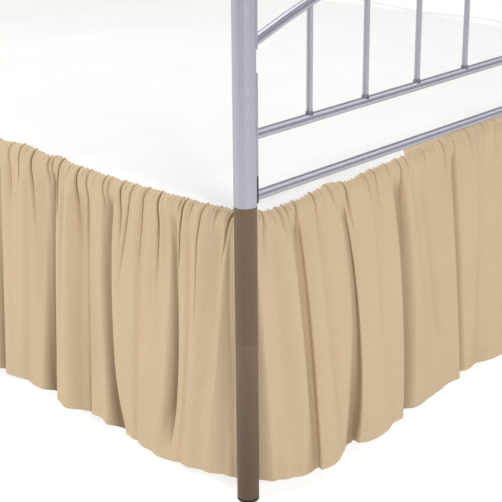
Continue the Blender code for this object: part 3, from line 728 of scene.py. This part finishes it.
def woven(name, light, dark, slub=0.5, fuzz=0.12):
    """A plain weave between two close colours, painted darker by each point's share of painted shade."""
    finish, tree, shader = new_finish(name, 0.9)
    uv = node(tree, "ShaderNodeUVMap", uv_map="cloth").outputs["UV"]
    uneven = noise(tree, uv, YARN_SCALE)
    threads = []
    for direction in ("X", "Y"):
        wave = node(tree, "ShaderNodeTexWave", {"Vector": uv, "Scale": THREADS_TO_METRE / math.tau,
                                                "Distortion": THREAD_WAVERS, "Detail": 1.0},
                    wave_type="BANDS", bands_direction=direction)
        threads.append(wave.outputs["Fac"])
    weave = node(tree, "ShaderNodeMath", {0: threads[0], 1: threads[1]}, operation="MULTIPLY").outputs[0]
    height = node(tree, "ShaderNodeMath", {0: weave, 1: uneven}, operation="ADD").outputs[0]
    bump = node(tree, "ShaderNodeBump",
                {"Height": height, "Strength": THREAD_BUMP, "Distance": THREAD_HEIGHT})
    tree.links.new(bump.outputs["Normal"], shader.inputs["Normal"])
    where = node(tree, "ShaderNodeTexCoord").outputs["Object"]
    mottled = node(tree, "ShaderNodeMath", {0: noise(tree, where, MOTTLE_SCALE), 1: slub},
                   operation="MULTIPLY").outputs[0]
    fine = node(tree, "ShaderNodeMath", {0: noise(tree, where, FIBRE_SCALE), 1: 1 - slub},
                operation="MULTIPLY").outputs[0]
    both = node(tree, "ShaderNodeMath", {0: mottled, 1: fine}, operation="ADD").outputs[0]
    colour = blended(tree, both, *TONE_SPAN, dark, light)
    # Painted shade: each point's share of shade from the folds and gathers mixes the colour toward a darker
    # brown.
    painted_crease_shade = node(tree, "ShaderNodeAttribute", attribute_name="painted_shade_share").outputs["Fac"]
    deep = [channel * share for channel, share in zip(dark, PAINTED_SHADE_COLOUR_SHARES)]
    shaded = node(tree, "ShaderNodeMixRGB", {"Fac": painted_crease_shade, "Color1": colour, "Color2": (*deep, 1)})
    tree.links.new(shaded.outputs[0], shader.inputs["Base Color"])
    shader.inputs["Sheen Weight"].default_value = fuzz
    shader.inputs["Sheen Roughness"].default_value = 0.6
    shader.inputs["Sheen Tint"].default_value = (*light, 1)
    shader.inputs["Specular IOR Level"].default_value = 0.2
    return finish


beige_cloth = woven("beige_cloth", (0.620, 0.479, 0.316), (0.566, 0.436, 0.284))
white_cloth = woven("white_cloth", (0.900, 0.895, 0.880), (0.860, 0.855, 0.840))
ticking_cloth = woven("ticking_cloth", (0.800, 0.795, 0.780), (0.740, 0.735, 0.720))
print("cloth finishes ready")

# %% [markdown]
# ## The skirt panels
#
# Each panel's points become the cloth that stands for its solid. It was cut longer than it
# hangs, by the fullness of its gathers.

# %% Skirt panels
FULLNESS = 1.4
for panel in PANELS:
    at, out, z, cloth, painted_crease_shade = sheet_points(panel)
    points = np.stack([value + np.zeros_like(at) for value in panel.place(at, out, z)], axis=-1)
    uvs = np.stack([at * FULLNESS, np.broadcast_to(-cloth, at.shape)], axis=-1)
    mesh = grid_mesh(panel.name, points, uvs)
    # The painted shade of the folds and gathers is stored on the mesh, for the cloth's finish to paint.
    mesh.attributes.new("painted_shade_share", "FLOAT", "POINT").data.foreach_set("value", painted_crease_shade.reshape(-1))
    piece = add_piece(f"{panel.name}_cloth", mesh, beige_cloth)
    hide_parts(panel.name)

# %% [markdown]
# ## The deck
#
# The deck is plain white cloth, a little loose. Along its seams it follows the uneven shoulder,
# and small puckers run into it from the gathers. Just past each seam it is tucked down under the
# panel, so that no gap shows between the pleats.

# %% Deck
DECK_STEP = 0.011
SAG_WIDTH = 0.024
PUCKER_LENGTH, PUCKER_HEIGHT = 0.07, 0.0016
PUCKER_PITCH, PUCKER_DRIFT, PUCKERS_START_OVER = 0.0061, 0.043, (0.004, 0.030)
DECK_CLEAR = 0.0006
WRINKLE_HEIGHT = 0.0012
# Waves in radians to the metre, how far they wander, and how fast
WRINKLES_ACROSS, WRINKLES_ALONG = (7.1, 3.0, 2.3), (5.3, 2.0, 3.1)
TUCK_WIDTH, TUCK_DEPTH, TUCK_STARTS, FAR_TUCK_STARTS = 0.006, 0.010, 0.003, -0.001
FAR_LIFT = 0.002


def edge_rise(panel, at):
    """The shoulder's rise along a panel's seam."""
    return between(hidden_rows(panel)[2], "up", at)


def deck_height(x, y):
    """The deck's top face above the plain deck, from the rises of its three seams and its wrinkles."""
    left, right, foot = PANELS
    up = np.zeros_like(x)
    seams = ((left, x - deck_low.x, y - FOOT_POST_Y), (right, deck_high.x - x, y - FOOT_POST_Y),
             (foot, y - deck_low.y, x + POST_X))
    for panel, inside, at in seams:
        nearness = 1 - eased_over((0, SAG_WIDTH), inside)
        tuck_starts = TUCK_STARTS if panel.gathers else FAR_TUCK_STARTS
        lift = 0.0 if panel.gathers else FAR_LIFT
        up += (edge_rise(panel, at) + lift) * nearness
        pucker = np.sin(at / PUCKER_PITCH + np.sin(at / PUCKER_DRIFT) * 3) * np.exp(-inside / PUCKER_LENGTH)
        up += PUCKER_HEIGHT * (0.5 + 0.5 * pucker) * eased_over(PUCKERS_START_OVER, inside)
        up -= TUCK_DEPTH * (1 - eased_over((-TUCK_WIDTH, tuck_starts), inside))
    wrinkle = 1.0
    for (waves, wander, turns), run, beside in ((WRINKLES_ACROSS, x, y), (WRINKLES_ALONG, y, x)):
        wrinkle = wrinkle * np.sin(waves * run + wander * np.sin(turns * beside))
    return up + DECK_CLEAR + WRINKLE_HEIGHT * (1 + wrinkle)


def deck_lines(low, high, tuck_low, tuck_high):
    """Evenly spaced lines over the deck, with two more where an edge is tucked under its seam."""
    lines = np.linspace(low, high, int((high - low) / DECK_STEP))
    tucks = np.array([TUCK_WIDTH, TUCK_WIDTH / 2])
    before = low - tucks if tuck_low else []
    after = high + tucks[::-1] if tuck_high else []
    return np.concatenate([before, lines, after])


xs = deck_lines(deck_low.x, deck_high.x, True, True)
ys = deck_lines(deck_low.y, deck_high.y, True, False)
x, y = np.meshgrid(xs, ys, indexing="ij")
points = np.stack([x, y, DECK_UNDERSIDE + deck_height(x, y)], axis=-1)
deck = add_piece("deck_cloth", grid_mesh("deck_cloth", points, np.stack([x, y], axis=-1)), white_cloth)
thicken(deck, CLOTH_THICK, 1.0 if deck.data.polygons[0].normal.z < 0 else -1.0)
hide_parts("deck")
print("deck cloth", len(deck.data.polygons), "faces")

# %% [markdown]
# ## The facing at the foot
#
# At the middle of the foot a strip of the panels' own cloth is let into the deck, so white deck
# doesn't show where the eye falls. Its ends are cut aslant, and its inner edge is folded under,
# which lifts it by the thickness of the cloth.

# %% Foot facing
FACING_COLUMNS, FACING_ROWS = 181, 14
FACING_FOLDED, FACING_RAISED, FACING_CLEAR = 0.08, 0.6, 0.0004
facing_low, facing_high = (Vector(corner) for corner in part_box("foot_facing"))
FACING_DEPTH = facing_high.y - facing_low.y
lengths = np.linspace(0, 1, FACING_COLUMNS)
tucked = np.array([-TUCK_WIDTH, -TUCK_WIDTH / 2]) / FACING_DEPTH
depths = np.concatenate([tucked, np.linspace(0, 1, FACING_ROWS)])
share, depth = np.meshgrid(lengths, depths, indexing="ij")
mitre = depth * FACING_DEPTH
x = (facing_low.x + mitre) + share * (facing_high.x - facing_low.x - 2 * mitre)
y = facing_low.y + depth * FACING_DEPTH
edge = np.minimum(1, (1 - depth) / FACING_FOLDED)
z = DECK_UNDERSIDE + deck_height(x, y) + CLOTH_THICK * FACING_RAISED * ease(edge) + FACING_CLEAR
points = np.stack([x, y, z], axis=-1)
facing = add_piece("foot_facing_cloth", grid_mesh("foot_facing_cloth", points, np.stack([x, y], axis=-1)),
                   beige_cloth)
thicken(facing, CLOTH_THICK / 2, 1.0 if facing.data.polygons[0].normal.z < 0 else -1.0)
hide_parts("foot_facing")

# %% [markdown]
# ## The box spring
#
# A box spring is a frame in a taut cloth cover: the sides stay nearly flat but draw in a little
# between the edges, and a round welt runs along its top and bottom edges.

# %% Box spring
spring_low, spring_high = (Vector(corner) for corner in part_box("box_spring"))
CORNER_ROUND = 0.022
DRAWN_IN = 0.004
FOOT_EDGE_SINKS = 0.013
CORNER_STRIPS = 4
SPRING_CUTS = ((0, 12), (1, 16), (2, 6))
AT_EDGE = 1.1 * CORNER_ROUND
SMOOTH_UP_TO = 50


def box_spring_mesh():
    """A rounded block with drawn-in sides."""
    shape = bmesh.new()
    bmesh.ops.create_cube(shape, size=1.0)
    size = spring_high - spring_low
    bmesh.ops.scale(shape, vec=size, verts=shape.verts)
    bmesh.ops.translate(shape, vec=(spring_low + spring_high) / 2, verts=shape.verts)
    bmesh.ops.bevel(shape, geom=list(shape.edges), offset=CORNER_ROUND, segments=CORNER_STRIPS, profile=0.5,
                    affect="EDGES")
    for axis, cuts in SPRING_CUTS:
        for k in range(1, cuts):
            place = spring_low.copy()
            place[axis] += size[axis] * k / cuts
            normal = Vector([1.0 if i == axis else 0.0 for i in range(3)])
            bmesh.ops.bisect_plane(shape, geom=list(shape.verts) + list(shape.edges) + list(shape.faces),
                                   plane_co=place, plane_no=normal)
    middle_z = (spring_low.z + spring_high.z) / 2
    for vert in shape.verts:
        up = 1 - abs(vert.co.z - middle_z) / (size.z / 2)
        for axis in (0, 1):
            for face, inward in ((spring_low[axis], 1), (spring_high[axis], -1)):
                if abs(vert.co[axis] - face) < CORNER_ROUND / 8:
                    vert.co[axis] += inward * DRAWN_IN * math.sin(math.pi / 2 * up)
        near_foot = vert.co.y < spring_low.y + AT_EDGE
        near_top = vert.co.z > spring_high.z - AT_EDGE
        if near_foot and near_top:
            vert.co.z -= FOOT_EDGE_SINKS
    mesh = bpy.data.meshes.new("box_spring_cover")
    layer = shape.loops.layers.uv.new("cloth")
    for face in shape.faces:
        steep = abs(face.normal.z) < 0.7
        wide = abs(face.normal.y) > abs(face.normal.x)
        for loop in face.loops:
            co = loop.vert.co
            loop[layer].uv = ((co.x if wide else co.y), co.z) if steep else (co.x, co.y)
    shape.to_mesh(mesh)
    shape.free()
    mesh.shade_smooth()
    mesh.set_sharp_from_angle(angle=math.radians(SMOOTH_UP_TO))
    return mesh


spring = add_piece("box_spring_cover", box_spring_mesh(), ticking_cloth)
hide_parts("box_spring")
print("box spring cover", len(spring.data.polygons), "faces")

# %% [markdown]
# ## The welts of the box spring
#
# One welt runs around the box spring under its top edge and one over its bottom edge, each a
# round cord along a rectangle with round corners.

# %% Welts
WELT_RADIUS, WELT_INSET = 0.0035, 0.0015
CORNER_STEPS = 6
UPPER_WELT_BELOW_TOP = 1.3 * CORNER_ROUND


def welt_path(height):
    """Points round the box spring's sides at one height, with quarter circles at the corners."""
    path = []
    reach = CORNER_ROUND - WELT_INSET
    corners = ((spring_high.x, spring_high.y, 0), (spring_low.x, spring_high.y, 1),
               (spring_low.x, spring_low.y, 2), (spring_high.x, spring_low.y, 3))
    for x, y, quarter in corners:
        middle_x = x - math.copysign(CORNER_ROUND, x)
        middle_y = y - math.copysign(CORNER_ROUND, y - (spring_low.y + spring_high.y) / 2)
        for step in range(CORNER_STEPS + 1):
            turn = math.pi / 2 * (quarter + step / CORNER_STEPS)
            path.append((middle_x + reach * math.cos(turn), middle_y + reach * math.sin(turn), height))
    return path


WELTS = (("upper_welt", spring_high.z - UPPER_WELT_BELOW_TOP), ("lower_welt", spring_low.z + CORNER_ROUND))
for name, height in WELTS:
    piping = bpy.data.curves.new(name, "CURVE")
    piping.dimensions = "3D"
    piping.bevel_depth = WELT_RADIUS
    piping.bevel_resolution = 2
    run = piping.splines.new("POLY")
    around = welt_path(height)
    run.points.add(len(around) - 1)
    for point, place in zip(run.points, around):
        point.co = (*place, 1)
    run.use_cyclic_u = True
    add_piece(name, piping, ticking_cloth)

# %% [markdown]
# ## Silver paint
#
# The tubes are powder coated in a silver that leans to violet. It is half way between a metal and a
# paint: soft highlights, a very fine orange peel, and a slight speckle.

# %% Silver paint
PEEL_SCALE, PEEL_DETAIL, PEEL_BUMP, PEEL_HEIGHT = 900, 2.0, 0.02, 0.0002
SPECKLE_SCALE, SPECKLE_SPAN = 260, (0.35, 0.65)


def painted(name, light, dark, roughness, metallic):
    """A coat of paint with a fine orange peel and a faint speckle."""
    finish, tree, shader = new_finish(name, roughness, metallic)
    where = node(tree, "ShaderNodeTexCoord").outputs["Object"]
    peel = noise(tree, where, PEEL_SCALE, PEEL_DETAIL)
    bump = node(tree, "ShaderNodeBump", {"Height": peel, "Strength": PEEL_BUMP, "Distance": PEEL_HEIGHT})
    tree.links.new(bump.outputs["Normal"], shader.inputs["Normal"])
    colour = blended(tree, noise(tree, where, SPECKLE_SCALE), *SPECKLE_SPAN, dark, light)
    tree.links.new(colour, shader.inputs["Base Color"])
    return finish, tree, shader


SILVER_TONES = (0.42, 0.42, 0.475), (0.38, 0.38, 0.435)
silver_paint, _, _ = painted("silver_paint_coat", *SILVER_TONES, 0.33, 0.58)
print("silver paint ready")

# %% [markdown]
# ## The legs and the strips
#
# Below the cloth's top line each leg is brown, in two slightly different tones that meet a little
# under half way, and darker at the floor. A ramp over the height gives those tones. The strips
# that carry the rails are silver too, but their lower ends are coloured near black as painted shade,
# for the shadow between each strip and its post.

# %% Leg and strip paint
brown_paint, leg_tree, leg_shader = painted("leg_paint_coat", (0.1826, 0.1176, 0.0728),
                                            (0.1590, 0.1030, 0.0638), 0.5, 0.0)
leg_shader.inputs["Specular IOR Level"].default_value = 0.3
LegTone = namedtuple("LegTone", "height tone")
LEG_TONES = (
    LegTone(0.000, 0.089), LegTone(0.005, 0.089), LegTone(0.006, 0.643), LegTone(0.150, 0.786),
    LegTone(0.279, 1.000), LegTone(0.282, 0.857), LegTone(0.400, 0.875), LegTone(0.506, 0.946),
)
highest = LEG_TONES[-1].height
part_way = node(leg_tree, "ShaderNodeMath", {0: height_up(leg_tree), 1: highest}, operation="DIVIDE")
tones = node(leg_tree, "ShaderNodeValToRGB", {"Fac": part_way.outputs[0]})
while len(tones.color_ramp.elements) < len(LEG_TONES):
    tones.color_ramp.elements.new(0.5)
for stop, row in zip(tones.color_ramp.elements, LEG_TONES):
    stop.position = row.height / highest
for stop, row in zip(tones.color_ramp.elements, LEG_TONES):
    stop.color = (row.tone, row.tone, row.tone, 1)
leg_colour = leg_shader.inputs["Base Color"].links[0].from_socket
toned = node(leg_tree, "ShaderNodeMixRGB", {"Fac": 1.0, "Color1": leg_colour, "Color2": tones.outputs[0]},
             blend_type="MULTIPLY")
leg_tree.links.new(toned.outputs[0], leg_shader.inputs["Base Color"])

# Painted shade: below this height the strips are coloured near black, standing in for the shadow between
# each strip and its post.
STRIP_PAINTED_SHADE_BELOW = DECK_TOP + 0.072
STRIP_PAINTED_SHADE = (0.015, 0.015, 0.018, 1)
strip_paint, strip_tree, strip_shader = painted("strip_coat_painted_shade", *SILVER_TONES, 0.4, 0.5)
strip_in_painted_shade = node(strip_tree, "ShaderNodeMath", {0: height_up(strip_tree), 1: STRIP_PAINTED_SHADE_BELOW},
                    operation="LESS_THAN")
strip_silver = strip_shader.inputs["Base Color"].links[0].from_socket
strip_colour = node(strip_tree, "ShaderNodeMixRGB",
                    {"Fac": strip_in_painted_shade.outputs[0], "Color1": strip_silver, "Color2": STRIP_PAINTED_SHADE})
strip_tree.links.new(strip_colour.outputs[0], strip_shader.inputs["Base Color"])

for name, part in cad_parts.items():
    if name.endswith("_leg"):
        finish = brown_paint
    elif name.endswith("_lower_strip"):
        finish = strip_paint
    elif name in ("deck", "foot_facing", "box_spring") or name.startswith("skirt_"):
        continue
    else:
        finish = silver_paint
    for k in range(len(part.material_slots)):
        part.material_slots[k].material = finish
print("paint on", sum(1 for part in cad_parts.values() if not part.hide_render), "parts")

# %% [markdown]
# ## Weld beads
#
# Each spindle is welded to the rail below it, and that weld leaves a small uneven collar that is
# darker than the paint around it.

# %% Weld beads
BEAD_SIDES, BEAD_HEIGHT, BEAD_SPREAD, BEAD_UNEVEN = 14, 0.0045, 1.3, (0.94, 1.06)
BEAD_SINKS, BEAD_TOP_SPREAD, BEAD_SEED = 0.004, 1.04, 31
BEAD_RINGS = ((-BEAD_SINKS, BEAD_SPREAD), (0.0, BEAD_SPREAD), (BEAD_HEIGHT, BEAD_TOP_SPREAD))
bead_paint, _, _ = painted("weld_coat", (0.24, 0.24, 0.27), (0.11, 0.11, 0.12), 0.5, 0.5)
rng = random.Random(BEAD_SEED)
for end in ("foot", "head"):
    beads = bmesh.new()
    rail_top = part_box(f"{end}_middle_rail")[1][2]
    for name in sorted(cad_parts):
        if not name.startswith(f"{end}_spindle"):
            continue
        low, high = (Vector(corner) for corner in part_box(name))
        radius = (high.x - low.x) / 2
        middle = (low + high) / 2
        rings = []
        for height, spread in BEAD_RINGS:
            ring = []
            for k in range(BEAD_SIDES):
                turn = math.tau * k / BEAD_SIDES
                reach = radius * spread * rng.uniform(*BEAD_UNEVEN)
                across, along = reach * math.cos(turn), reach * math.sin(turn)
                ring.append(beads.verts.new((middle.x + across, middle.y + along, rail_top + height)))
            rings.append(ring)
        for below, above in zip(rings, rings[1:]):
            for k in range(BEAD_SIDES):
                beads.faces.new((below[k - 1], below[k], above[k], above[k - 1]))
    mesh = bpy.data.meshes.new(f"{end}_weld_beads")
    beads.to_mesh(mesh)
    beads.free()
    mesh.shade_smooth()
    add_piece(f"{end}_weld_beads", mesh, bead_paint)
    print(end, "weld beads", len(mesh.polygons), "faces")

# %% [markdown]
# ## The floor
#
# A pale floor carries the bed. It glows a little, so that it stays white around the bed.

# %% Floor
FLOOR_SIDE = 40.0
floor_mesh = bpy.data.meshes.new("floor")
half = FLOOR_SIDE / 2
floor_corners = [(-half, -half, 0), (half, -half, 0), (half, half, 0), (-half, half, 0)]
floor_mesh.from_pydata(floor_corners, [], [(0, 1, 2, 3)])
floor = bpy.data.objects.new("floor", floor_mesh)
bpy.context.scene.collection.objects.link(floor)
floor_finish, _, floor_shader = new_finish("floor_paint", 0.9)
floor_shader.inputs["Base Color"].default_value = (0.50, 0.50, 0.50, 1)
floor_shader.inputs["Specular IOR Level"].default_value = 0.1
floor_shader.inputs["Emission Color"].default_value = (1, 1, 1, 1)
floor_shader.inputs["Emission Strength"].default_value = 0.72
floor_mesh.materials.append(floor_finish)
print("floor", FLOOR_SIDE, "m square")

# %% [markdown]
# ## Lights
#
# Large soft lights from the head's left, from the foot and from above keep the shadows in the
# folds gentle, and one from the far right draws a light line along the tops of the rails.

# %% Lights
world = bpy.data.worlds.new("studio")
bpy.context.scene.world = world
world.use_nodes = True
world.node_tree.nodes["Background"].inputs["Color"].default_value = (1, 1, 1, 1)
world.node_tree.nodes["Background"].inputs["Strength"].default_value = 0.18

Lamp = namedtuple("Lamp", "name place aim size power")
LAMPS = (
    Lamp("left_softbox", (-3.6, 3.0, 2.4), (-0.8, -0.6, 0.3), 1.6, 132),
    Lamp("front_softbox", (-2.2, -4.7, 2.2), (0.0, -1.0, 0.3), 1.6, 90),
    Lamp("rail_softbox", (3.1, -2.9, 3.6), (-0.3, -1.0, 0.5), 2.6, 44),
    Lamp("overhead_softbox", (0.0, 0.0, 4.2), (0.0, 0.0, 0.4), 3.2, 100),
)
for lamp in LAMPS:
    light = bpy.data.lights.new(lamp.name, "AREA")
    light.shape = "SQUARE"
    light.size = lamp.size
    light.energy = lamp.power
    holder = bpy.data.objects.new(lamp.name, light)
    holder.location = lamp.place
    holder.rotation_euler = (Vector(lamp.aim) - Vector(lamp.place)).to_track_quat("-Z", "Y").to_euler()
    bpy.context.scene.collection.objects.link(holder)
bpy.context.scene.view_settings.view_transform = "Standard"
print(len(LAMPS), "lamps")
